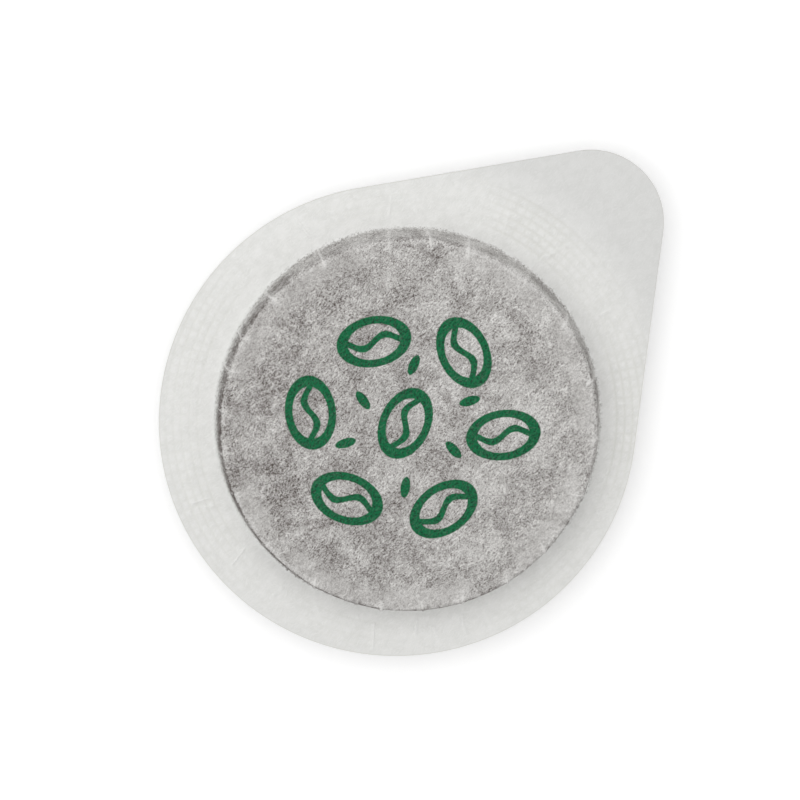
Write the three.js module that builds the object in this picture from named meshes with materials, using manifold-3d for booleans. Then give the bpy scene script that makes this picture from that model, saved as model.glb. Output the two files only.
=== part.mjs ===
// Paper coffee pod: a pressed puck of ground coffee between two drawn filter papers.
// The papers are heat sealed in a ring and die cut together to a teardrop with a pull tab.
// Millimetres, +Z up. The origin is on the puck's axis, in the face that the pod lies on,
// and the pull tab points along +X.

import * as THREE from 'three';
import { mergeVertices } from 'three/addons/utils/BufferGeometryUtils.js';
import Module from 'manifold-3d';

// Coffee puck
const puckRadius = 22.3; // at the bond plane, where it is widest
const puckRimRadius = 0.8; // rounding of the upper and lower rim
const coffeeAboveBond = 4.58;
const coffeeBelowBond = 4.58;
const wallDraftAngle = THREE.MathUtils.degToRad(8.5);

// Filter papers
const paperThickness = 0.12;
const paperClearance = 0.08; // paper to coffee, round the wall
const footBendRadius = 0.5; // bend from the drawn wall to the flange

// Gathers: the small folds that take up the paper's spare width round the drawn shoulder.
// They fall unevenly, here by their angle from the tab in degrees.
const gatherAngles = [
  5, 25, 37, 50, 71, 90, 105, 116, 129, 142, 155,
  174, 193, 215, 228, 241, 256, 271, 291, 309, 327, 347,
];
const gatherWidth = 1.4; // across a gather's feet, round the wall
const gatherHeight = 0.28; // out from the wall

// Heat seal: concentric grooves pressed into the outer face of each paper
const sealInnerRadius = 24.0;
const sealPitch = 0.93;
const sealRingCount = 6;
const sealGrooveDepth = 0.05;

// Die cut: a circle with a rounded corner, joined by its tangents
const cutRadius = 27.85;
const tabDistance = 32.2; // circle centre to the centre of the corner's arc
const tabCornerRadius = 8.55;
const cutOffsetAlong = -0.97; // circle centre from the puck's axis, along the tab
const cutOffsetAcross = 0.53;

// Fineness of the curves. A gather has four columns of facets: its ridge, its two feet,
// and the middle of the span to the next gather.
const columnsPerGather = 4;
const rimSegments = 3;
const footSegments = 2;
const outlineSegments = 30;

// Room left around a cut, so that the cutting solid passes right through
const cutMargin = 1.0;

const bondHeight = paperThickness + coffeeBelowBond;
const paperWallRadius = puckRadius + paperClearance;
const turnSegments = gatherAngles.length * columnsPerGather;

const wasm = await Module();
wasm.setup();

// Points of an arc from one angle to another, both included
function arcPoints(centre, radius, fromAngle, toAngle, segments) {
  const points = [];
  for (let i = 0; i <= segments; i += 1) {
    const angle = THREE.MathUtils.lerp(fromAngle, toAngle, i / segments);
    const x = centre.x + radius * Math.cos(angle);
    const y = centre.y + radius * Math.sin(angle);
    points.push(new THREE.Vector2(x, y));
  }
  return points;
}

// Centre of the rounding between a drafted wall and a flat face at the given height.
// The wall starts at wallRadius in the bond plane and leans in by the draft angle.
function rimCentre(wallRadius, height) {
  const y = height - puckRimRadius;
  const inset = puckRimRadius + y * Math.sin(wallDraftAngle);
  return new THREE.Vector2(wallRadius - inset / Math.cos(wallDraftAngle), y);
}

// Where a gather's ridge stands round the turn, counted on past the last to the first
function gatherTurn(gather) {
  const count = gatherAngles.length;
  const turns = Math.floor(gather / count);
  return THREE.MathUtils.degToRad(gatherAngles[gather - turns * count] + 360 * turns);
}

// Where a column of facets stands round the turn
function columnTurn(column) {
  const gather = Math.round(column / columnsPerGather);
  const place = column - gather * columnsPerGather;
  if (place === -columnsPerGather / 2) {
    return (gatherTurn(gather - 1) + gatherTurn(gather)) / 2;
  }
  return gatherTurn(gather) + (place * gatherWidth) / (2 * paperWallRadius);
}

// Revolves a section of (radius, height) points round Z, as one closed mesh with its
// columns of facets at the gathers. standOut gives a ridge's height at a section point.
function revolve(section, standOut) {
  const geometry = new THREE.LatheGeometry(section, turnSegments);
  const position = geometry.attributes.position;
  for (let i = 0; i < position.count; i += 1) {
    const column = Math.floor(i / section.length) % turnSegments;
    const point = section[i % section.length];
    const onRidge = column % columnsPerGather === 0;
    const radius = point.x + (onRidge ? standOut(point) : 0);
    const turn = columnTurn(column);
    position.setXYZ(i, radius * Math.cos(turn), radius * Math.sin(turn), point.y);
  }
  return geometry;
}

// Turns a closed geometry into a solid that can be cut
function solidOf(geometry) {
  const bare = geometry.clone();
  bare.deleteAttribute('normal');
  bare.deleteAttribute('uv');
  const merged = mergeVertices(bare);
  const triangles = [];
  for (let i = 0; i < merged.index.count; i += 3) {
    const corners = [0, 1, 2].map((k) => merged.index.getX(i + k));
    if (new Set(corners).size === 3) triangles.push(...corners);
  }
  return new wasm.Manifold(new wasm.Mesh({
    numProp: 3,
    vertProperties: new Float32Array(merged.attributes.position.array),
    triVerts: new Uint32Array(triangles),
  }));
}

// Turns a cut solid back into a geometry
function geometryOf(solid) {
  const mesh = solid.getMesh();
  const geometry = new THREE.BufferGeometry();
  geometry.setAttribute('position', new THREE.BufferAttribute(mesh.vertProperties, 3));
  geometry.setIndex(new THREE.BufferAttribute(mesh.triVerts, 1));
  geometry.computeVertexNormals();
  return geometry;
}

// Teardrop outline of the die cut, seen from above
function cutOutline() {
  const tangentAngle = Math.acos((cutRadius - tabCornerRadius) / tabDistance);
  const outline = new THREE.Shape();
  outline.absarc(
    cutOffsetAlong, cutOffsetAcross, cutRadius,
    tangentAngle, 2 * Math.PI - tangentAngle, false,
  );
  outline.absarc(
    cutOffsetAlong + tabDistance, cutOffsetAcross, tabCornerRadius,
    -tangentAngle, tangentAngle, false,
  );
  outline.closePath();
  return outline;
}

// Solid that keeps what lies inside the teardrop, over the whole height of the pod
function dieCutSolid() {
  const height = bondHeight + coffeeAboveBond + paperThickness + 2 * cutMargin;
  const geometry = new THREE.ExtrudeGeometry(cutOutline(), {
    depth: height,
    bevelEnabled: false,
    curveSegments: outlineSegments,
  });
  geometry.translate(0, 0, -cutMargin);
  return solidOf(geometry);
}

// Face of the flange with the seal's grooves, from the band's outer edge inwards
function sealPoints() {
  const points = [];
  for (let ring = sealRingCount; ring > 0; ring -= 1) {
    const ridge = sealInnerRadius + ring * sealPitch;
    points.push(new THREE.Vector2(ridge, paperThickness));
    points.push(new THREE.Vector2(ridge - sealPitch / 2, paperThickness - sealGrooveDepth));
  }
  points.push(new THREE.Vector2(sealInnerRadius, paperThickness));
  return points;
}

// Section of one paper, with the bond plane at height 0 and the cup above it
function paperSection(cupHeight) {
  const webRadius = tabDistance + tabCornerRadius + Math.hypot(cutOffsetAlong, cutOffsetAcross)
    + cutMargin;
  const rim = rimCentre(paperWallRadius, cupHeight);
  const outerRimRadius = puckRimRadius + paperThickness;

  const underBendRadius = footBendRadius + paperThickness;
  const bendOutset = underBendRadius * (1 - Math.sin(wallDraftAngle));
  const bend = new THREE.Vector2(
    paperWallRadius + bendOutset / Math.cos(wallDraftAngle),
    underBendRadius,
  );
  const wallSide = Math.PI + wallDraftAngle;
  const flangeSide = 1.5 * Math.PI;

  return [
    new THREE.Vector2(0, cupHeight),
    ...arcPoints(rim, puckRimRadius, Math.PI / 2, wallDraftAngle, rimSegments),
    ...arcPoints(bend, underBendRadius, wallSide, flangeSide, footSegments),
    new THREE.Vector2(webRadius, 0),
    new THREE.Vector2(webRadius, paperThickness),
    ...sealPoints(),
    ...arcPoints(bend, footBendRadius, flangeSide, wallSide, footSegments),
    ...arcPoints(rim, outerRimRadius, wallDraftAngle, Math.PI / 2, rimSegments),
    new THREE.Vector2(0, cupHeight + paperThickness),
  ];
}

// One filter paper: drawn over its half of the puck, gathered at the shoulder, pressed
// with the seal's rings and die cut. Its bond plane comes out at bondHeight.
function filterPaper(cupHeight, facesDown) {
  const section = paperSection(cupHeight);
  if (facesDown) {
    section.reverse();
    section.forEach((point) => point.setY(-point.y));
  }
  const fullHeightAt = cupHeight / 2;
  const standOut = (point) => gatherHeight
    * THREE.MathUtils.smoothstep(Math.abs(point.y), paperThickness, fullHeightAt);
  const web = revolve(section, standOut);
  web.translate(0, 0, bondHeight);
  return geometryOf(solidOf(web).intersect(dieCutSolid()));
}

// Pressed coffee, widest at the bond plane, with both rims rounded
function coffeePuck() {
  const upperRim = rimCentre(puckRadius, coffeeAboveBond);
  const lowerRim = rimCentre(puckRadius, coffeeBelowBond);
  lowerRim.y = -lowerRim.y;
  const section = [
    new THREE.Vector2(0, -coffeeBelowBond),
    ...arcPoints(lowerRim, puckRimRadius, -Math.PI / 2, -wallDraftAngle, rimSegments),
    new THREE.Vector2(puckRadius, 0),
    ...arcPoints(upperRim, puckRimRadius, wallDraftAngle, Math.PI / 2, rimSegments),
    new THREE.Vector2(0, coffeeAboveBond),
  ];
  const puck = revolve(section, () => 0);
  puck.translate(0, 0, bondHeight);
  return geometryOf(solidOf(puck));
}

const upperPaperMaterial = new THREE.MeshStandardMaterial({
  color: 0xe4e4e1, roughness: 0.9, metalness: 0,
});
const lowerPaperMaterial = new THREE.MeshStandardMaterial({
  color: 0xdfdfda, roughness: 0.9, metalness: 0,
});
const coffeeMaterial = new THREE.MeshStandardMaterial({
  color: 0x4a3325, roughness: 0.95, metalness: 0,
});

const upperPaper = new THREE.Mesh(filterPaper(coffeeAboveBond, false), upperPaperMaterial);
upperPaper.name = 'upper_filter_paper';

const lowerPaper = new THREE.Mesh(filterPaper(coffeeBelowBond, true), lowerPaperMaterial);
lowerPaper.name = 'lower_filter_paper';

const puck = new THREE.Mesh(coffeePuck(), coffeeMaterial);
puck.name = 'coffee_puck';

const pod = new THREE.Group();
pod.add(upperPaper, lowerPaper, puck);

export default pod;
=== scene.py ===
import math

import bpy
import numpy as np
from mathutils import Matrix, Vector


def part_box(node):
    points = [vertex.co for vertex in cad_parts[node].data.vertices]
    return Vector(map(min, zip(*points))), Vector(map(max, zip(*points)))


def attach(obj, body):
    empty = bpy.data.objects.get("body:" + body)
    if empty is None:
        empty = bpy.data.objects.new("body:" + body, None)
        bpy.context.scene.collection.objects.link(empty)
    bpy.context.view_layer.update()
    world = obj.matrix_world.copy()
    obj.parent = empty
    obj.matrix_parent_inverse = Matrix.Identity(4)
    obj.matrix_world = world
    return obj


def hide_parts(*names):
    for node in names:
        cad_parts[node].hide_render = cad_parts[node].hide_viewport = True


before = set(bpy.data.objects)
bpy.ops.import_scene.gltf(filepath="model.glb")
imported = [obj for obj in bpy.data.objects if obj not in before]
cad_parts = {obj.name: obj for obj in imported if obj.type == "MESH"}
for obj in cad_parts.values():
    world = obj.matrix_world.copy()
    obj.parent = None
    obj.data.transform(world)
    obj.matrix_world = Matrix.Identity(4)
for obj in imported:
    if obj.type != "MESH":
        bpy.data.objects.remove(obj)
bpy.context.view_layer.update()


# Coffee puck: about 7 g of ground coffee pressed to a round tablet with rounded rims.
# It keeps its solid shape and gets the look of dark, oily, loosely bound grounds. The
# papers hide it, so it only shows where they are lifted away.
MM = 0.001
coffee_dark = (0.018, 0.009, 0.005, 1.0)
coffee_light = (0.115, 0.062, 0.034, 1.0)
ground_size = 0.35  # mm across one ground
ground_depth = 0.12  # mm that it stands out
ground_bump = 0.9
# Ramps by the distance from a ground's middle: its light patch, and its height
ground_lit, ground_round = (0.55, 0.1), (0.7, 0.0)
coffee_roughness = (0.55, 0.85)  # in the dark and in the light
# A mottle is a noise's waves in a mm, detail, roughness and warp, then its low and high end
shade_mottle = (1.4, 5.0, 0.7, 0.0, 0.3, 0.72)


def wire(tree, value, socket):
    """Sets a socket from a number, a colour or another node's output."""
    if isinstance(value, bpy.types.NodeSocket):
        tree.links.new(value, socket)
    else:
        socket.default_value = value


def calc(tree, operation, first, second=0.0, third=0.0):
    node = tree.nodes.new("ShaderNodeMath")
    node.operation = operation
    for socket, value in zip(node.inputs, (first, second, third)):
        wire(tree, value, socket)
    return node.outputs[0]


def ramp(tree, value, low, high, out_low=0.0, out_high=1.0):
    """Runs smoothly from out_low to out_high while value goes from low to high."""
    node = tree.nodes.new("ShaderNodeMapRange")
    node.interpolation_type = "SMOOTHSTEP"
    wire(tree, value, node.inputs["Value"])
    ends = {"From Min": low, "From Max": high, "To Min": out_low, "To Max": out_high}
    for name, end in ends.items():
        wire(tree, end, node.inputs[name])
    return node.outputs["Result"]


def tint(tree, factor, first, second):
    """Mixes two colours."""
    node = tree.nodes.new("ShaderNodeMix")
    node.data_type = "RGBA"
    wire(tree, factor, node.inputs["Factor"])
    wire(tree, first, node.inputs["A"])
    wire(tree, second, node.inputs["B"])
    return node.outputs["Result"]


def tint_value(tree, factor, first, second):
    """Mixes two numbers."""
    node = tree.nodes.new("ShaderNodeMix")
    wire(tree, factor, node.inputs["Factor"])
    wire(tree, first, node.inputs["A"])
    wire(tree, second, node.inputs["B"])
    return node.outputs["Result"]


def noise(tree, place, per_mm, detail=2.0, roughness=0.5, warp=0.0):
    """A soft noise round 0.5, with its size given as waves in a millimetre."""
    node = tree.nodes.new("ShaderNodeTexNoise")
    wire(tree, place, node.inputs["Vector"])
    node.inputs["Scale"].default_value = per_mm
    node.inputs["Detail"].default_value = detail
    node.inputs["Roughness"].default_value = roughness
    node.inputs["Distortion"].default_value = warp
    return node.outputs["Fac"]


def mottle(tree, place, kind, out_low=0.0, out_high=1.0):
    """Patches of a noise, from out_low to out_high."""
    per_mm, detail, roughness, warp, low, high = kind
    patches = noise(tree, place, per_mm, detail, roughness, warp)
    return ramp(tree, patches, low, high, out_low, out_high)


def place_in_mm(tree, offset=(0.0, 0.0, 0.0)):
    """The surface point in millimetres, from the pod's own frame."""
    coordinates = tree.nodes.new("ShaderNodeTexCoord")
    scaled = tree.nodes.new("ShaderNodeVectorMath")
    scaled.operation = "MULTIPLY_ADD"
    wire(tree, coordinates.outputs["Object"], scaled.inputs[0])
    scaled.inputs[1].default_value = (1 / MM, 1 / MM, 1 / MM)
    scaled.inputs[2].default_value = offset
    return scaled.outputs[0]


def bump(tree, height, strength, depth_mm):
    """A normal bent by a height that runs from 0 to 1 over depth_mm."""
    node = tree.nodes.new("ShaderNodeBump")
    wire(tree, height, node.inputs["Height"])
    node.inputs["Strength"].default_value = strength
    node.inputs["Distance"].default_value = depth_mm * MM
    return node.outputs["Normal"]


def new_material(name):
    material = bpy.data.materials.new(name)
    material.use_nodes = True
    return material, material.node_tree, material.node_tree.nodes["Principled BSDF"]


def make_ground_coffee():
    material, tree, shader = new_material("pressed_ground_coffee")
    place = place_in_mm(tree)
    grounds = tree.nodes.new("ShaderNodeTexVoronoi")
    wire(tree, place, grounds.inputs["Vector"])
    grounds.inputs["Scale"].default_value = 1 / ground_size
    shade = mottle(tree, place, shade_mottle)
    lit = calc(tree, "MULTIPLY", shade, ramp(tree, grounds.outputs["Distance"], *ground_lit))
    wire(tree, tint(tree, lit, coffee_dark, coffee_light), shader.inputs["Base Color"])
    wire(tree, ramp(tree, shade, 0.0, 1.0, *coffee_roughness), shader.inputs["Roughness"])
    height = ramp(tree, grounds.outputs["Distance"], *ground_round)
    wire(tree, bump(tree, height, ground_bump, ground_depth), shader.inputs["Normal"])
    return material


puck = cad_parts["coffee_puck"]
puck.data.materials.clear()
puck.data.materials.append(make_ground_coffee())


# Lower filter paper: a white long-fibre sheet drawn up round the puck's lower half, with
# small gathers at its shoulder, then bonded to the upper sheet by hot ring-shaped jaws and
# die cut with it to a teardrop. It is made as one closed skin with its real thickness.
puck_low, puck_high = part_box("coffee_puck")
upper_low, upper_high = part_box("upper_filter_paper")
bond_height = upper_low.z
paper_thickness = upper_high.z - puck_high.z
rim_radius = 0.45 * MM
foot_bend = 0.5 * MM
wall_draft = math.radians(8.5)
wall_radius = 22.38 * MM  # at the bond plane
bond_gap = 0.004 * MM  # between the two papers

# Gathers, by their turn from the tab in degrees
gather_angles = (5, 25, 37, 50, 71, 90, 105, 116, 129, 142, 155,
                 174, 193, 215, 228, 241, 256, 271, 291, 309, 327, 347)
gather_height = 0.26 * MM
gather_half_width = 0.15 * MM
gather_run_in = 1.6 * MM  # how far they reach in over the flat face
gather_fades_over = 5 * MM  # and out over the flange
gather_crest = 0.7  # share of the height in the sharp crest
gather_skirt = 0.3  # and in the soft skirt beside it
skirt_width = 4  # times the crest's
# Each gather draws its own share of the run-in, slant, bow, strength, width, and share of its
# height that it keeps into the flange
gather_varies = ((0.4, 1.0), (-0.45, 0.45), (-0.2, 0.2), (0.5, 1.0), (0.8, 1.3), (0.0, 0.5))
upper_seed, lower_seed = 11, 23
crowding = 3.0  # how much closer the columns stand at a gather
crowding_width = 0.55 * MM

# Seal: round grooves crossed by radial ones, pressed unevenly
seal_inner = 24.0 * MM
seal_pitch = 0.93 * MM
seal_rings = 6
seal_ribs = 150
seal_fades_in = (-0.1 * MM, 0.3 * MM)  # from the inner radius
seal_fades_out = 0.5 * MM
seal_share = 0.86  # of a flange that is too narrow for all its rings
rib_depth = 0.8  # of a round groove's
groove_sharpness = 3
press_depth = 0.065 * MM
press_mean = 0.45
press_swing = 0.3
press_patches = 0.25
press_waves, press_start = 7, 1.1  # of the patches round the pod
least_press, most_press = 0.12, 1.15
pressed_most = math.radians(138)
hard_pressed = ((14, 11, 0.75), (-42, 15, 0.65))  # degrees round, half width, strength

# Folds in the flange: degrees round, start and length in mm, slant
fold_height = 0.15 * MM
fold_half_width = 0.13 * MM
fold_rise, fold_fall = 0.5, 0.7  # mm at its two ends
flange_folds = ((210.1, 23.6, 3.4, 0.25), (214.6, 24.2, 3.6, -0.1), (226.8, 23.4, 2.8, 0.15),
                (230.7, 24.6, 2.0, -0.2), (239.3, 23.8, 3.0, 0.1), (158.2, 24.0, 2.4, 0.3),
                (155.3, 24.8, 2.6, 0.1), (16.3, 24.2, 3.0, -0.3), (3.5, 24.8, 3.2, 0.35),
                (49.0, 23.6, 3.0, 0.2), (71.4, 24.0, 3.4, -0.15), (118.0, 24.4, 2.2, 0.2),
                (172.0, 23.8, 3.2, -0.25), (187.5, 24.2, 2.6, 0.2), (262.0, 24.0, 3.0, 0.1),
                (287.0, 24.4, 2.6, -0.2), (318.0, 24.0, 3.4, 0.15), (342.0, 24.6, 2.8, -0.1))
edge_line = 0.15 * MM  # rim of the cut, where the paper is squeezed
edge_pressed = 2.0
flange_buckle = ((3, 0.7, 0.010), (7, 2.0, 0.006))  # waves, start, rise for each mm out
face_swells = ((0.55, 0.3, 1), (-0.35, 0.62, 0), (-0.2, 0.9, 0))  # waves by x and y, start
swell_height = 0.018 * MM
swell_fades = (17 * MM, 20.5 * MM)

# Die cut: a circle and a rounded corner
cut_centre = Vector((-0.97, 0.53)) * MM
cut_radius = 27.85 * MM
tab_distance = 32.2 * MM
tab_radius = 8.55 * MM

# Fineness of the sheet, in columns round it and rows from its middle out
columns = 960
inner_columns = 240
core_columns = 60
tip_columns = 12
flat_rows = ((tip_columns, 0.8), (core_columns, 2.4), (core_columns, 4.5),
             (inner_columns, 6.5), (inner_columns, 9.0), (inner_columns, 11.5),
             (inner_columns, 14.0), (inner_columns, 16.0))
run_in_rows = 8
rim_rows = 9
wall_rows = 6
foot_rows = 6
ledge_rows = 2
band_steps = 40
plain_steps = 4
sharp_angle = math.radians(55)
fine_turns = 14401


def turn_past(turn, degrees):
    """How far a turn is past a direction, from minus half a turn to half a turn."""
    return (turn - math.radians(degrees) + math.pi) % (2 * math.pi) - math.pi


def column_turns(count):
    """Turns of evenly numbered columns that stand closer together at the gathers."""
    fine = np.linspace(0, 2 * math.pi, fine_turns)
    density = np.ones_like(fine)
    for angle in gather_angles:
        away = turn_past(fine, angle)
        density += crowding * np.exp(-(away * wall_radius / crowding_width) ** 2)
    share = np.concatenate([[0], np.cumsum((density[1:] + density[:-1]) / 2)])
    return np.interp(np.arange(count) / count, share / share[-1], fine)


def cut_reach(turn):
    """Distance from the puck's axis to the teardrop's edge, for each turn."""
    across = np.stack([np.cos(turn), np.sin(turn)], 1)
    tab_centre = cut_centre + Vector((tab_distance, 0))
    reach = np.zeros(len(turn))
    for centre, radius in ((cut_centre, cut_radius), (tab_centre, tab_radius)):
        along = across @ np.array(centre)
        inside = along**2 - centre.length_squared + radius**2
        leaves = along + np.sqrt(np.maximum(inside, 0))
        reach = np.maximum(reach, np.where(inside > 0, leaves, 0))
    lean = math.acos((cut_radius - tab_radius) / tab_distance)
    least_facing = 0.05  # a ray more slanting than this never meets the straight edge
    for side in (1, -1):
        normal = Vector((math.cos(lean), side * math.sin(lean)))
        edge = Vector((math.sin(lean), -side * math.cos(lean)))
        facing = across @ np.array(normal)
        hit = (cut_centre.dot(normal) + cut_radius) / np.maximum(facing, least_facing)
        place = (across * hit[:, None]) @ np.array(edge)
        between = (place > cut_centre.dot(edge)) & (place < tab_centre.dot(edge))
        reach = np.maximum(reach, np.where(between & (facing > least_facing), hit, 0))
    return reach


def section_rows(cup_height):
    """Rows of a paper's outer face from its middle to the seal: how many columns, then
    radius, height over the bond plane, and the direction that the paper faces."""
    lean_in = math.tan(wall_draft)
    rim_z = cup_height - rim_radius
    rim_r = wall_radius - rim_radius / math.cos(wall_draft) - rim_z * lean_in
    bend_z = foot_bend + paper_thickness
    bend_r = wall_radius + bend_z / math.cos(wall_draft) - bend_z * lean_in
    face = cup_height + paper_thickness
    rows = [(count, r * MM) for count, r in flat_rows]
    rows += [(columns, rim_r - gather_run_in * (1 - i / run_in_rows)) for i in range(run_in_rows)]
    rows = [(count, r, face, 0.0, 1.0) for count, r in rows]
    reach = rim_radius + paper_thickness
    for i in range(rim_rows):
        a = math.pi / 2 + (wall_draft - math.pi / 2) * i / (rim_rows - 1)
        rows.append((columns, rim_r + reach * math.cos(a), rim_z + reach * math.sin(a),
                     math.cos(a), math.sin(a)))
    foot = []
    for i in range(foot_rows):
        a = math.pi + wall_draft + (math.pi / 2 - wall_draft) * i / (foot_rows - 1)
        foot.append((columns, bend_r + foot_bend * math.cos(a), bend_z + foot_bend * math.sin(a),
                     -math.cos(a), -math.sin(a)))
    top, bottom = rows[-1], foot[0]
    for i in range(1, wall_rows + 1):
        share = i / (wall_rows + 1)
        rows.append((columns, *(t + (b - t) * share for t, b in zip(top[1:], bottom[1:]))))
    rows += foot
    for i in range(1, ledge_rows + 1):
        r = foot[-1][1] + (seal_inner - foot[-1][1]) * i / (ledge_rows + 1)
        rows.append((columns, r, paper_thickness, 0.0, 1.0))
    return rows


def soft_step(value, low, high):
    """Runs smoothly from 0 to 1 while value goes from low to high."""
    share = np.clip((value - low) / (high - low), 0, 1)
    return share * share * (3 - 2 * share)


def gather_lift(radius, height, turn, cup_height, facing_up):
    """How far the gathers lift the paper: long thin ridges that start on the flat face,
    run over the rim and down the wall, and die out in the flange."""
    draws = np.random.default_rng(upper_seed if facing_up else lower_seed)
    rim_r = wall_radius - rim_radius - (cup_height - rim_radius) * math.tan(wall_draft)
    lift = np.zeros_like(turn)
    for angle in gather_angles:
        run_in, slant, bow, strength, width, into_flange = (
            draws.uniform(low, high) for low, high in gather_varies)
        width = gather_half_width * width
        past_rim = radius - rim_r
        across = turn_past(turn, angle) * radius + slant * past_rim + bow / MM * past_rim**2
        crest = np.exp(-(across / width) ** 2)
        skirt = np.exp(-(across / width / skirt_width) ** 2)
        ridge = gather_crest * crest + gather_skirt * skirt
        start = soft_step(radius, rim_r - gather_run_in * run_in, rim_r)
        start = start if facing_up else start * soft_step(radius, rim_r, rim_r + rim_radius)
        foot = soft_step(height, paper_thickness, cup_height / 2)
        foot = into_flange + (1 - into_flange) * foot
        out = 1 - soft_step(radius, seal_inner, seal_inner + gather_fades_over)
        lift += gather_height * strength * ridge * start * foot * out
    return lift


def seal_press(radius, turn):
    """The seal's pressed pattern, from 0 to 1: round grooves crossed by radial ones."""
    ring = 0.5 + 0.5 * np.cos(2 * math.pi * ((radius - seal_inner) / seal_pitch - 0.5))
    rib = 0.5 + 0.5 * np.cos(seal_ribs * turn)
    ring, rib = ring**groove_sharpness, rib**groove_sharpness
    band = soft_step(radius, seal_inner + seal_fades_in[0], seal_inner + seal_fades_in[1])
    seal_outer = seal_inner + seal_rings * seal_pitch
    band = band * (1 - soft_step(radius, seal_outer - seal_fades_out, seal_outer))
    press = press_mean + press_swing * np.cos(2 * (turn - pressed_most))
    press = press + press_patches * np.sin(press_waves * turn + press_start)
    for angle, half_width, strength in hard_pressed:
        away = turn_past(turn, angle)
        press = press + strength * np.exp(-(away / math.radians(half_width)) ** 2)
    return band * np.clip(press, least_press, most_press) * np.maximum(ring, rib_depth * rib)


def fold_lift(radius, turn):
    """Short radial folds that the seal has pressed into the flange."""
    lift = np.zeros_like(turn)
    for angle, start, length, slant in flange_folds:
        past = radius - start * MM
        across = turn_past(turn, angle) * radius + slant * past
        run = soft_step(past, 0, fold_rise * MM)
        run = run * (1 - soft_step(past, (length - fold_fall) * MM, length * MM))
        lift += fold_height * run * np.exp(-(across / fold_half_width) ** 2)
    return lift


def flange_wave(radius, turn):
    """The slight buckle of the sealed flange, the same in both papers."""
    out = np.maximum(radius - seal_inner, 0)
    return out * sum(rise * np.sin(waves * turn + start) for waves, start, rise in flange_buckle)


def face_swell(radius, turn):
    """Shallow swells of the flat face over the pressed grounds."""
    x, y = radius * np.cos(turn) / MM, radius * np.sin(turn) / MM
    swell = sum(np.sin(by_x * x + by_y * y + start) for by_x, by_y, start in face_swells)
    return swell_height * swell * (1 - soft_step(radius, *swell_fades))


def join_rows(faces, first, first_count, second, second_count):
    """Faces between two rings of vertices, the outer with as many or a multiple."""
    step = second_count // first_count
    for i in range(first_count):
        after = (i + 1) % first_count
        outer = [second + (i * step + k) % second_count for k in range(step + 1)]
        faces.append([first + i, *outer, first + after])


def formed_paper(name, cup_height, facing_up):
    """One paper as a closed skin: its outer face, its cut edge and its inner face."""
    side = 1 if facing_up else -1
    rows = section_rows(cup_height)
    turn = column_turns(columns)
    reach = cut_reach(turn)
    band_end = np.minimum(seal_inner + seal_rings * seal_pitch,
                          seal_inner + seal_share * (reach - seal_inner))
    band = [seal_inner + (band_end - seal_inner) * i / band_steps for i in range(band_steps + 1)]
    plain = [band_end + (reach - edge_line - band_end) * i / plain_steps
             for i in range(1, plain_steps + 1)] + [reach]
    flange = len(rows)
    rows += [(columns, r, paper_thickness, 0.0, 1.0) for r in band + plain]

    points, rings, gathered, pressed = [], [], [], []

    def add_ring(count, radius, height, out_r, out_z, under):
        """One ring of vertices on the outer face, or a paper's thickness under it."""
        here = column_turns(count)
        radius = np.broadcast_to(radius, here.shape)
        lift = gather_lift(radius, height, here, cup_height, facing_up)
        lift = lift + fold_lift(radius, here)
        gathered.extend((lift / gather_height).tolist())
        if facing_up:
            lift = lift + face_swell(radius, here) * out_z
        press = seal_press(radius, here)
        at_edge = radius > cut_reach(here) - edge_line / 2
        pressed.extend(np.where(at_edge, edge_pressed, press).tolist())
        lift = lift - (paper_thickness if under else press * press_depth)
        r = radius + lift * out_r
        z = bond_height + side * (height + lift * out_z) + flange_wave(radius, here)
        z = np.maximum(z + side * bond_gap, 0)
        rings.append((len(points), count))
        points.extend(np.stack([r * np.cos(here), r * np.sin(here), z], 1).tolist())

    for row in rows:
        add_ring(*row, under=False)
    rim = len(flat_rows) + run_in_rows
    wall = rim + rim_rows
    under_rows = [*range(len(flat_rows) + 1), *range(rim - 1, wall, 2), *range(wall, flange, 3),
                  flange, flange + band_steps // 2, flange + band_steps, len(rows) - 1]
    for i in reversed(under_rows):
        add_ring(*rows[i], under=True)

    faces = []
    for (first, first_count), (second, second_count) in zip(rings, rings[1:]):
        if first_count <= second_count:
            join_rows(faces, first, first_count, second, second_count)
        else:
            flipped = []
            join_rows(flipped, second, second_count, first, first_count)
            faces.extend(face[::-1] for face in flipped)
    for (start, count), inward in ((rings[0], False), (rings[-1], True)):
        tip = len(points)
        middle = np.array(points[start:start + count]).mean(0)
        points.append([0.0, 0.0, float(middle[2])])
        gathered.append(0.0)
        pressed.append(0.0)
        for i in range(count):
            face = [tip, start + i, start + (i + 1) % count]
            faces.append(face[::-1] if inward else face)
    if not facing_up:
        faces = [face[::-1] for face in faces]

    mesh = bpy.data.meshes.new(name)
    mesh.from_pydata(points, [], faces)
    for mark, values in (("gathered", gathered), ("pressed", pressed)):
        mesh.attributes.new(mark, "FLOAT", "POINT").data.foreach_set("value", values)
    mesh.shade_smooth()
    mesh.set_sharp_from_angle(angle=sharp_angle)
    paper = bpy.data.objects.new(name, mesh)
    bpy.context.scene.collection.objects.link(paper)
    return paper


def new_group(name, inputs, outputs):
    """An empty shader group with named vector or number sockets."""
    group = bpy.data.node_groups.new(name, "ShaderNodeTree")
    for in_out, sockets in (("INPUT", inputs), ("OUTPUT", outputs)):
        for socket, kind in sockets.items():
            group.interface.new_socket(socket, in_out=in_out, socket_type="NodeSocket" + kind)
    given = group.nodes.new("NodeGroupInput")
    result = group.nodes.new("NodeGroupOutput")
    return group, given.outputs, result.inputs


def use_group(tree, group, **inputs):
    """Places a shader group in a tree and gives its outputs."""
    node = tree.nodes.new("ShaderNodeGroup")
    node.node_tree = group
    for name, value in inputs.items():
        wire(tree, value, node.inputs[name])
    return node.outputs


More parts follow.
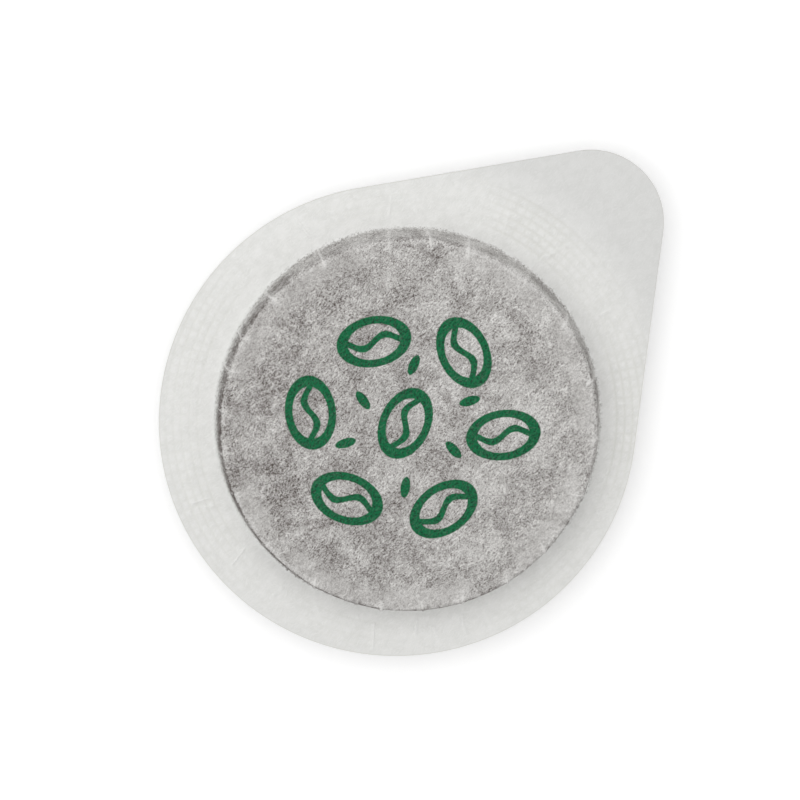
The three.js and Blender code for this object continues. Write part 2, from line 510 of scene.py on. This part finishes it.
def turned(tree, place, degrees, stretch):
    """The place turned about Z and squeezed across, for marks that run one way."""
    node = tree.nodes.new("ShaderNodeMapping")
    wire(tree, place, node.inputs["Vector"])
    node.inputs["Rotation"].default_value = (0, 0, math.radians(degrees))
    node.inputs["Scale"].default_value = stretch
    return node.outputs[0]


def warped(tree, place, per_mm, reach):
    """The place pushed about by a soft noise, for marks that wander."""
    drift = tree.nodes.new("ShaderNodeTexNoise")
    wire(tree, place, drift.inputs["Vector"])
    drift.inputs["Scale"].default_value = per_mm
    push = tree.nodes.new("ShaderNodeVectorMath")
    push.operation = "MULTIPLY_ADD"
    wire(tree, drift.outputs["Color"], push.inputs[0])
    push.inputs[1].default_value = (reach, reach, reach)
    wire(tree, place, push.inputs[2])
    return push.outputs[0]


# Fibres: degrees they lie at, and how many fit side by side in a millimetre
fibre_lays = ((12, 7.0), (47, 8.5), (83, 6.5), (118, 8.0), (155, 7.5))
fibres_end_to_end = 1.2  # in a millimetre
fibre_layers = 3.0
fibre_wander = (0.7, 1.3)  # waves in a mm, and reach in mm
fibre_mottle = (1.0, 1.0, 0.5, 0.0, 0.60, 0.72)
cloud_mottle = (0.9, 4.0, 0.65, 0.0, 0.3, 0.7)
tooth_noise = (6.0, 2.0, 0.8)


def make_fibre_group():
    """Long fibres laid every way, the clouds they form and the paper's fine tooth."""
    group, given, result = new_group(
        "paper_fibres", {"Place": "Vector"},
        {"Fibres": "Float", "Cloud": "Float", "Tooth": "Float"})
    place = given["Place"]
    wander = warped(group, place, *fibre_wander)
    fibres = 0.0
    for degrees, side_by_side in fibre_lays:
        laid = turned(group, wander, degrees, (fibres_end_to_end, side_by_side, fibre_layers))
        fibres = calc(group, "MAXIMUM", mottle(group, laid, fibre_mottle), fibres)
    wire(group, fibres, result["Fibres"])
    wire(group, mottle(group, place, cloud_mottle), result["Cloud"])
    wire(group, noise(group, place, *tooth_noise), result["Tooth"])
    return group


# Where grounds show through, by distance from the puck's axis in mm
puck_edge = (22.78, 22.32)  # from bare paper to grounds, at the foot of the wall
edge_noise = (3.2, 4.0, 0.8)
edge_wander = 1.8
tight_way = (-0.69, 0.73)  # the side where the paper is drawn tightest
tight_from = (12.0, 21.0)  # along that way
pulled_in = 0.3  # how much nearer the axis the grounds end there
wall_top = (21.6, 21.8)
# A painted highlight: a pale band on the round of the rim
rim_highlight_inside, rim_highlight_outside = (21.1, 21.3), (21.75, 21.6)
rim_dust_from = (21.05, 21.3)
slack_paper_from, slack_paper_to = (18.2, 20.2), (21.7, 21.5)
slack_raggedness = 0.8  # of the edge's
# Radii over which the free tab is darkened as painted shade
tab_shade_from = (26.5, 33.0)

# How white the paper lies over the grounds, from 0 to 1, and what adds to it
veil_plain = 0.41
veil_by_x, veil_by_y = 0.0032, -0.0034  # for each mm
veil_marks = {"patches": 0.27, "fibres": 0.34, "cloud": 0.10, "specks": -0.26, "fines": -0.34}
veil_tooth = 0.8
veil_slack, slack_share = 0.74, 0.45
veil_gathered = 0.5
# Round the wall the grounds show darker: partly the grounds close behind the paper, partly
# painted shade on the steep wall
veil_wall_grounds_and_shade = (-0.06, -0.26)
veil_wall_ahead, ahead_from = (-0.065, 0.2), (0.0, 31.0)  # by x + y
veil_wall_right, right_from = 0.2, (-3.0, -18.0)  # by y
veil_rim_highlight = 0.10
veil_rim_dust, dust_right_from = -0.24, (0.0, -14.0)
patch_mottle = (0.30, 5.0, 0.66, 0.5, 0.37, 0.64)
speck_mottle = (4.2, 1.0, 0.6, 0.0, 0.5, 0.36)
fine_mottle = (8.0, 1.0, 0.5, 0.0, 0.5, 0.36)
slack_mottle = (0.11, 1.0, 0.5, 0.0, 0.4, 0.55)
wall_grounds_and_shade_mottle = (0.13, 2.0, 0.5, 0.0, 0.4, 0.62)
dust_mottle = (1.5, 3.0, 0.7, 0.0, 0.47, 0.57)


def make_coffee_group():
    """Where the paper lies on the grounds, and how they show through it: darker round the
    wall, partly the grounds and partly painted shade on the steep wall; paler in a painted
    highlight along the rim; and paler where the paper stands off them, inside the rim, in
    patches and on the gathers. It also gives where the free tab begins, which the paper
    darkens as painted shade."""
    group, given, result = new_group(
        "coffee_through_paper",
        {"Place": "Vector", "Fibres": "Float", "Cloud": "Float", "Tooth": "Float",
         "Gathered": "Float"},
        {"Colour": "Color", "Cover": "Float", "Tab": "Float"})
    place = given["Place"]
    split = group.nodes.new("ShaderNodeSeparateXYZ")
    wire(group, place, split.inputs[0])
    x, y = split.outputs[0], split.outputs[1]

    def add(first, second):
        return calc(group, "ADD", first, second)

    def times(first, second):
        return calc(group, "MULTIPLY", first, second)

    def add_scaled(total, mark, weight):
        return calc(group, "MULTIPLY_ADD", mark, weight, total)

    radius = calc(group, "SQRT", add(times(x, x), times(y, y)))
    ragged = add_scaled(-edge_wander / 2, noise(group, place, *edge_noise), edge_wander)
    tight = add(times(x, tight_way[0]), times(y, tight_way[1]))
    edge_at = add(add(radius, ragged), ramp(group, tight, *tight_from, 0.0, pulled_in))
    wire(group, ramp(group, edge_at, *puck_edge), result["Cover"])
    wire(group, ramp(group, radius, *tab_shade_from), result["Tab"])

    marks = {
        "patches": mottle(group, place, patch_mottle),
        "fibres": given["Fibres"],
        "cloud": given["Cloud"],
        "specks": mottle(group, place, speck_mottle),
        "fines": mottle(group, place, fine_mottle),
    }
    veil = add(add(times(x, veil_by_x), times(y, veil_by_y)), veil_plain)
    for name, mark in marks.items():
        veil = add_scaled(veil, mark, veil_marks[name])
    veil = add_scaled(add(veil, -veil_tooth / 2), given["Tooth"], veil_tooth)

    slack = times(ramp(group, add_scaled(radius, ragged, slack_raggedness), *slack_paper_from),
                  mottle(group, place, slack_mottle))
    slack = times(slack, ramp(group, radius, *slack_paper_to))
    veil = tint_value(group, times(slack, slack_share), veil, veil_slack)
    veil = add_scaled(veil, given["Gathered"], veil_gathered)

    # The wall is darkened partly as grounds seen through the paper and partly as painted shade on
    # its steep face
    wall = ramp(group, radius, *wall_top)
    wall_grounds_and_shade = mottle(group, place, wall_grounds_and_shade_mottle, *veil_wall_grounds_and_shade)
    wall_grounds_and_shade = add(wall_grounds_and_shade, ramp(group, add(x, y), *ahead_from, *veil_wall_ahead))
    wall_grounds_and_shade = add(wall_grounds_and_shade, ramp(group, y, *right_from, 0.0, veil_wall_right))
    veil = add_scaled(veil, wall, wall_grounds_and_shade)

    # Painted highlight: the round of the rim is lightened in a narrow band
    rim_highlight = times(ramp(group, radius, *rim_highlight_inside),
                     ramp(group, radius, *rim_highlight_outside))
    veil = add_scaled(veil, rim_highlight, veil_rim_highlight)
    rim_dust = times(ramp(group, edge_at, *rim_dust_from),
                     mottle(group, place, dust_mottle))
    rim_dust = times(rim_dust, ramp(group, y, *dust_right_from))
    veil = add_scaled(veil, rim_dust, veil_rim_dust)
    veil = calc(group, "MINIMUM", calc(group, "MAXIMUM", veil, 0.0), 1.0)
    wire(group, tint(group, veil, grounds_behind, veiled_grounds), result["Colour"])
    return group


paper_shade = (0.755, 0.757, 0.735, 1.0)
paper_bright = (0.82, 0.82, 0.802, 1.0)
paper_fibre = (0.87, 0.87, 0.855, 1.0)
paper_pressed = (0.70, 0.70, 0.655, 1.0)
# Painted shade on the free tab, which is drawn darker as if less light reached it
painted_tab_shade = (0.54, 0.54, 0.535, 1.0)
fibre_whiteness = 0.55
pressed_share = 0.42
tab_shade_share = 0.36
paper_relief = 0.035  # mm
paper_bump = 0.5
fibre_relief = 0.5  # of the tooth's
relief_over_grounds = 0.1  # more than on bare paper
paper_roughness = (0.95, 0.8)
paper_specular = 0.25
grounds_behind = (0.078, 0.061, 0.054, 1.0)
veiled_grounds = (0.72, 0.709, 0.69, 1.0)
fibre_group = make_fibre_group()
coffee_group = make_coffee_group()


def make_filter_paper(name, offset, add_print=None):
    """The paper's material. The offset gives each sheet its own fibres and grounds."""
    material, tree, shader = new_material(name)
    place = place_in_mm(tree, offset)
    fibre = use_group(tree, fibre_group, Place=place)
    sheet = tint(tree, fibre["Cloud"], paper_shade, paper_bright)
    pressed = tree.nodes.new("ShaderNodeAttribute")
    pressed.attribute_name = "pressed"
    gathered = tree.nodes.new("ShaderNodeAttribute")
    gathered.attribute_name = "gathered"
    raised = calc(tree, "MULTIPLY_ADD", fibre["Fibres"], fibre_whiteness,
                  gathered.outputs["Fac"])
    sheet = tint(tree, raised, sheet, paper_fibre)
    sheet = tint(tree, calc(tree, "MULTIPLY", pressed.outputs["Fac"], pressed_share),
                 sheet, paper_pressed)
    through = use_group(tree, coffee_group, Place=place, Fibres=fibre["Fibres"],
                        Cloud=fibre["Cloud"], Tooth=fibre["Tooth"],
                        Gathered=gathered.outputs["Fac"])
    # Painted shade: the sheet darkens over the free tab as if less light fell there
    sheet = tint(tree, calc(tree, "MULTIPLY", through["Tab"], tab_shade_share), sheet, painted_tab_shade)
    colour = tint(tree, through["Cover"], sheet, through["Colour"])
    if add_print:
        colour = add_print(tree, place, fibre, colour)
    wire(tree, colour, shader.inputs["Base Color"])
    wire(tree, ramp(tree, fibre["Tooth"], 0.0, 1.0, *paper_roughness),
         shader.inputs["Roughness"])
    shader.inputs["Specular IOR Level"].default_value = paper_specular
    relief = calc(tree, "MULTIPLY_ADD", fibre["Fibres"], fibre_relief, fibre["Tooth"])
    rough = calc(tree, "MULTIPLY_ADD", through["Cover"], relief_over_grounds, 1.0)
    wire(tree, bump(tree, calc(tree, "MULTIPLY", relief, rough), paper_bump, paper_relief),
         shader.inputs["Normal"])
    return material


lower_paper = formed_paper("lower_filter_sheet", bond_height - puck_low.z, False)
lower_paper.data.materials.append(make_filter_paper("plain_filter_paper", (0.0, 0.0, 37.0)))
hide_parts("lower_filter_paper")
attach(lower_paper, "root")


# Upper filter paper: the same sheet over the puck's upper half, printed with green beans and
# leaves before it is drawn. It is made like the lower one, the other way up, and the ink is
# a field of colour in its material.
ink_green = (0.0045, 0.14, 0.051, 1.0)
ink_dark = (0.005, 0.046, 0.022, 1.0)
# Beans and leaves: x and y in mm, and degrees round
bean_places = ((0.0, 0.6, 20), (10.6, 1.4, 68), (4.4, 9.8, -35), (-6.6, 9.4, 50),
               (-11.0, -0.6, 112), (-4.2, -9.6, -12), (6.8, -8.6, 142))
bean_half_length = 3.7
bean_half_width = 2.5
bean_line = 0.55
crease_half_width = 0.42
crease_swing = 0.6
crease_waves = 1.2
leaf_places = ((5.6, 4.6, 20), (-1.4, 6.0, 80), (-6.4, 4.0, 150), (-5.4, -4.6, 215),
               (1.6, -5.6, 265), (7.0, -3.0, 330))
leaf_half_length = 1.25
leaf_half_width = 0.55
ink_softness = 0.07
ink_mottle = (4.6, 2.0, 0.7, 0.0, 0.37, 0.55)
ink_on_fibres = 0.95
print_wander = (4.0, 0.10)  # waves in a mm, and reach in mm


def make_print_group():
    """Seven coffee beans drawn in outline, scattered with small leaves between them."""
    group, given, result = new_group("bean_print", {"Place": "Vector"}, {"Ink": "Float"})
    place = warped(group, given["Place"], *print_wander)

    def local(x, y, degrees):
        """The point as seen from a motif: along it and across it."""
        moved = group.nodes.new("ShaderNodeMapping")
        moved.vector_type = "TEXTURE"
        wire(group, place, moved.inputs["Vector"])
        moved.inputs["Location"].default_value = (x, y, 0)
        moved.inputs["Rotation"].default_value = (0, 0, math.radians(degrees))
        split = group.nodes.new("ShaderNodeSeparateXYZ")
        wire(group, moved.outputs[0], split.inputs[0])
        return split.outputs[0], split.outputs[1]

    def oval(u, v, half_length, half_width):
        """Distance from an oval's edge in mm, less than 0 inside."""
        long_way = calc(group, "DIVIDE", u, half_length)
        cross_way = calc(group, "DIVIDE", v, half_width)
        spread = calc(group, "ADD", calc(group, "MULTIPLY", long_way, long_way),
                      calc(group, "MULTIPLY", cross_way, cross_way))
        return calc(group, "MULTIPLY", calc(group, "ADD", calc(group, "SQRT", spread), -1.0),
                    (half_length + half_width) / 2)

    def within(distance, reach):
        """1 where the distance is less than the reach, with a soft edge."""
        return ramp(group, distance, reach + ink_softness, reach - ink_softness)

    ink = 0.0
    for x, y, degrees in bean_places:
        u, v = local(x, y, degrees)
        outside = oval(u, v, bean_half_length, bean_half_width)
        outline = within(calc(group, "ABSOLUTE", outside), bean_line)
        wave = calc(group, "SINE", calc(group, "MULTIPLY", u, crease_waves))
        swing = calc(group, "MULTIPLY", wave, crease_swing)
        crease = within(calc(group, "ABSOLUTE", calc(group, "SUBTRACT", v, swing)),
                        crease_half_width)
        crease = calc(group, "MULTIPLY", crease, within(outside, 0.0))
        ink = calc(group, "MAXIMUM", ink, calc(group, "MAXIMUM", outline, crease))
    for x, y, degrees in leaf_places:
        u, v = local(x, y, degrees)
        leaf = within(oval(u, v, leaf_half_length, leaf_half_width), 0.0)
        ink = calc(group, "MAXIMUM", ink, leaf)
    wire(group, ink, result["Ink"])
    return group


print_group = make_print_group()


def add_green_print(tree, place, fibre, colour):
    """Ink over the paper: darker where grounds lie close behind, thinner on top fibres."""
    ink = use_group(tree, print_group, Place=place)["Ink"]
    wet = tint(tree, mottle(tree, place, ink_mottle), ink_dark, ink_green)
    hold = ramp(tree, fibre["Fibres"], 0.0, 1.0, 1.0, ink_on_fibres)
    return tint(tree, calc(tree, "MULTIPLY", ink, hold), colour, wet)


upper_paper = formed_paper("upper_filter_sheet", puck_high.z - bond_height, True)
upper_paper.data.materials.append(
    make_filter_paper("printed_filter_paper", (0.0, 0.0, 0.0), add_green_print))
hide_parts("upper_filter_paper")
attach(upper_paper, "root")


# Studio: a pale floor that the camera sees as white but for the pod's soft shadow, a large
# lamp high at the upper left of the picture and plain light all round.
photo_width = 93.15 * MM
sky_strength = 0.71
key_size = 0.2
key_power = 0.122
key_aside, key_up, key_height = -0.045, 0.048, 0.17
floor_half_width = 2
floor_top = -0.03 * MM  # a hair under the pod, whose face lies at height 0
floor_white = (0.88, 0.88, 0.88, 1)
floor_roughness = 0.9
floor_glow_near, floor_glow_far = 0.29, 0.42
near_mm, far_mm = 60.0, 250.0
lens = 180.0
sensor = 36.0
clip_near, clip_far = 0.01, 10.0
tilt = math.radians(9.5)  # of the camera from the vertical
lean_towards = math.radians(105)  # in the picture
tab_in_picture = math.radians(46.6)
centre_aside, centre_up = 0.2 * MM, 2.65 * MM  # the picture's, from the cut circle's
picture_right = Vector((math.cos(tab_in_picture), -math.sin(tab_in_picture), 0))
picture_up = Vector((math.sin(tab_in_picture), math.cos(tab_in_picture), 0))
seen_centre = Vector((cut_centre.x, cut_centre.y, bond_height))
seen_centre += picture_right * centre_aside + picture_up * centre_up


def make_floor():
    """A white floor that glows a little more away from the pod, but not on the pod."""
    corners = [(x * floor_half_width, y * floor_half_width, floor_top)
               for x, y in ((-1, -1), (1, -1), (1, 1), (-1, 1))]
    mesh = bpy.data.meshes.new("floor")
    mesh.from_pydata(corners, [], [(0, 1, 2, 3)])
    floor = bpy.data.objects.new("floor", mesh)
    bpy.context.scene.collection.objects.link(floor)
    material, tree, shader = new_material("white_floor")
    shader.inputs["Base Color"].default_value = floor_white
    shader.inputs["Roughness"].default_value = floor_roughness
    rays = tree.nodes.new("ShaderNodeLightPath")
    seen = calc(tree, "MAXIMUM", rays.outputs["Is Camera Ray"],
                calc(tree, "MAXIMUM", rays.outputs["Is Glossy Ray"],
                     rays.outputs["Is Transmission Ray"]))
    wire(tree, (1, 1, 1, 1), shader.inputs["Emission Color"])
    split = tree.nodes.new("ShaderNodeSeparateXYZ")
    wire(tree, place_in_mm(tree), split.inputs[0])
    away = calc(tree, "ADD", calc(tree, "POWER", split.outputs[0], 2.0),
                calc(tree, "POWER", split.outputs[1], 2.0))
    glow = ramp(tree, calc(tree, "SQRT", away), near_mm, far_mm, floor_glow_near, floor_glow_far)
    wire(tree, calc(tree, "MULTIPLY", seen, glow), shader.inputs["Emission Strength"])
    mesh.materials.append(material)


def add_lamp(name, place, size, power):
    """A round lamp that shines on the pod and isn't seen itself."""
    light = bpy.data.lights.new(name, "AREA")
    light.shape = "DISK"
    light.size = size
    light.energy = power
    lamp = bpy.data.objects.new(name, light)
    lamp.location = place
    lamp.rotation_euler = place.to_track_quat("Z", "Y").to_euler()
    lamp.visible_camera = False
    bpy.context.scene.collection.objects.link(lamp)


def set_camera():
    """The camera looks down on the pod, leant a little from straight above."""
    data = bpy.data.cameras.new("camera")
    data.lens, data.sensor_width = lens, sensor
    camera = bpy.data.objects.new("camera", data)
    aside = picture_right * math.cos(lean_towards) + picture_up * math.sin(lean_towards)
    back = (Vector((0, 0, 1)) * math.cos(tilt) + aside * math.sin(tilt)).normalized()
    right = (picture_right - back * picture_right.dot(back)).normalized()
    up = back.cross(right)
    distance = photo_width / 2 / (sensor / 2 / lens)
    camera.matrix_world = Matrix.Translation(seen_centre + back * distance) @ Matrix(
        (right, up, back)).transposed().to_4x4()
    data.clip_start, data.clip_end = clip_near, clip_far
    bpy.context.scene.collection.objects.link(camera)
    bpy.context.scene.camera = camera


make_floor()
key_place = picture_right * key_aside + picture_up * key_up + Vector((0, 0, key_height))
add_lamp("key", key_place, key_size, key_power)
world = bpy.data.worlds.new("studio")
world.use_nodes = True
background = world.node_tree.nodes["Background"]
background.inputs["Color"].default_value = (1, 1, 1, 1)
sky_seen = world.node_tree.nodes.new("ShaderNodeLightPath").outputs["Is Camera Ray"]
wire(world.node_tree, ramp(world.node_tree, sky_seen, 0.0, 1.0, sky_strength, 1.0),
     background.inputs["Strength"])
bpy.context.scene.world = world
bpy.context.scene.view_settings.view_transform = "Standard"
set_camera()
